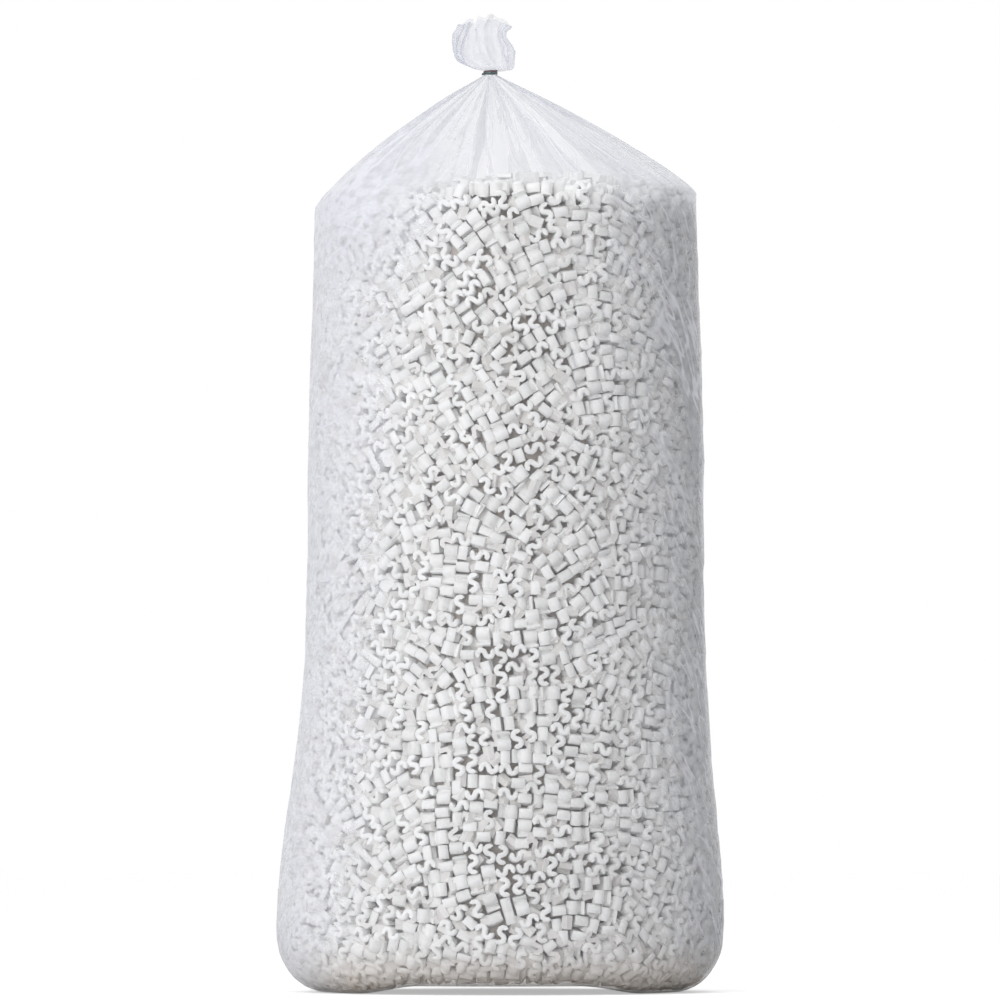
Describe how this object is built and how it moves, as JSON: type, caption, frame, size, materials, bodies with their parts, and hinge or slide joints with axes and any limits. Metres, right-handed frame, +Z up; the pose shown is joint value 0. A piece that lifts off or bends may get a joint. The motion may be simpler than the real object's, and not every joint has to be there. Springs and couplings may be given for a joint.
{
  "type": "packing peanut bag",
  "caption": "Tall clear film bag packed full of S-shaped foam packing peanuts, gathered and tied at the neck.",
  "frame": {"origin": "on the floor, under the middle of the standing bag", "axes": "+Z up, X along the width of the bag's foot, front towards -Y"},
  "size_m": [0.787, 0.69, 1.73],
  "materials": {
    "film": "clear polyethylene film, slightly milky",
    "foam": "white expanded foam",
    "tie": "dark coated strip"
  },
  "bodies": {
    "root": {"bag_film": "film", "peanut_fill": "foam", "peanut_01": "foam", "peanut_02": "foam", "peanut_03": "foam", "peanut_04": "foam", "peanut_05": "foam", "peanut_06": "foam", "peanut_07": "foam", "peanut_08": "foam", "peanut_09": "foam", "peanut_10": "foam", "peanut_11": "foam", "peanut_12": "foam", "peanut_13": "foam", "peanut_14": "foam", "peanut_15": "foam", "peanut_16": "foam", "peanut_17": "foam", "peanut_18": "foam", "peanut_19": "foam", "peanut_20": "foam", "peanut_21": "foam", "peanut_22": "foam", "peanut_23": "foam", "peanut_24": "foam", "peanut_25": "foam", "peanut_26": "foam", "peanut_27": "foam", "peanut_28": "foam", "peanut_29": "foam", "peanut_30": "foam", "peanut_31": "foam", "peanut_32": "foam", "peanut_33": "foam", "peanut_34": "foam", "peanut_35": "foam", "peanut_36": "foam", "peanut_37": "foam", "peanut_38": "foam", "peanut_39": "foam", "peanut_40": "foam", "peanut_41": "foam", "peanut_42": "foam", "neck_tie": "tie"}
  },
  "joints": []
}
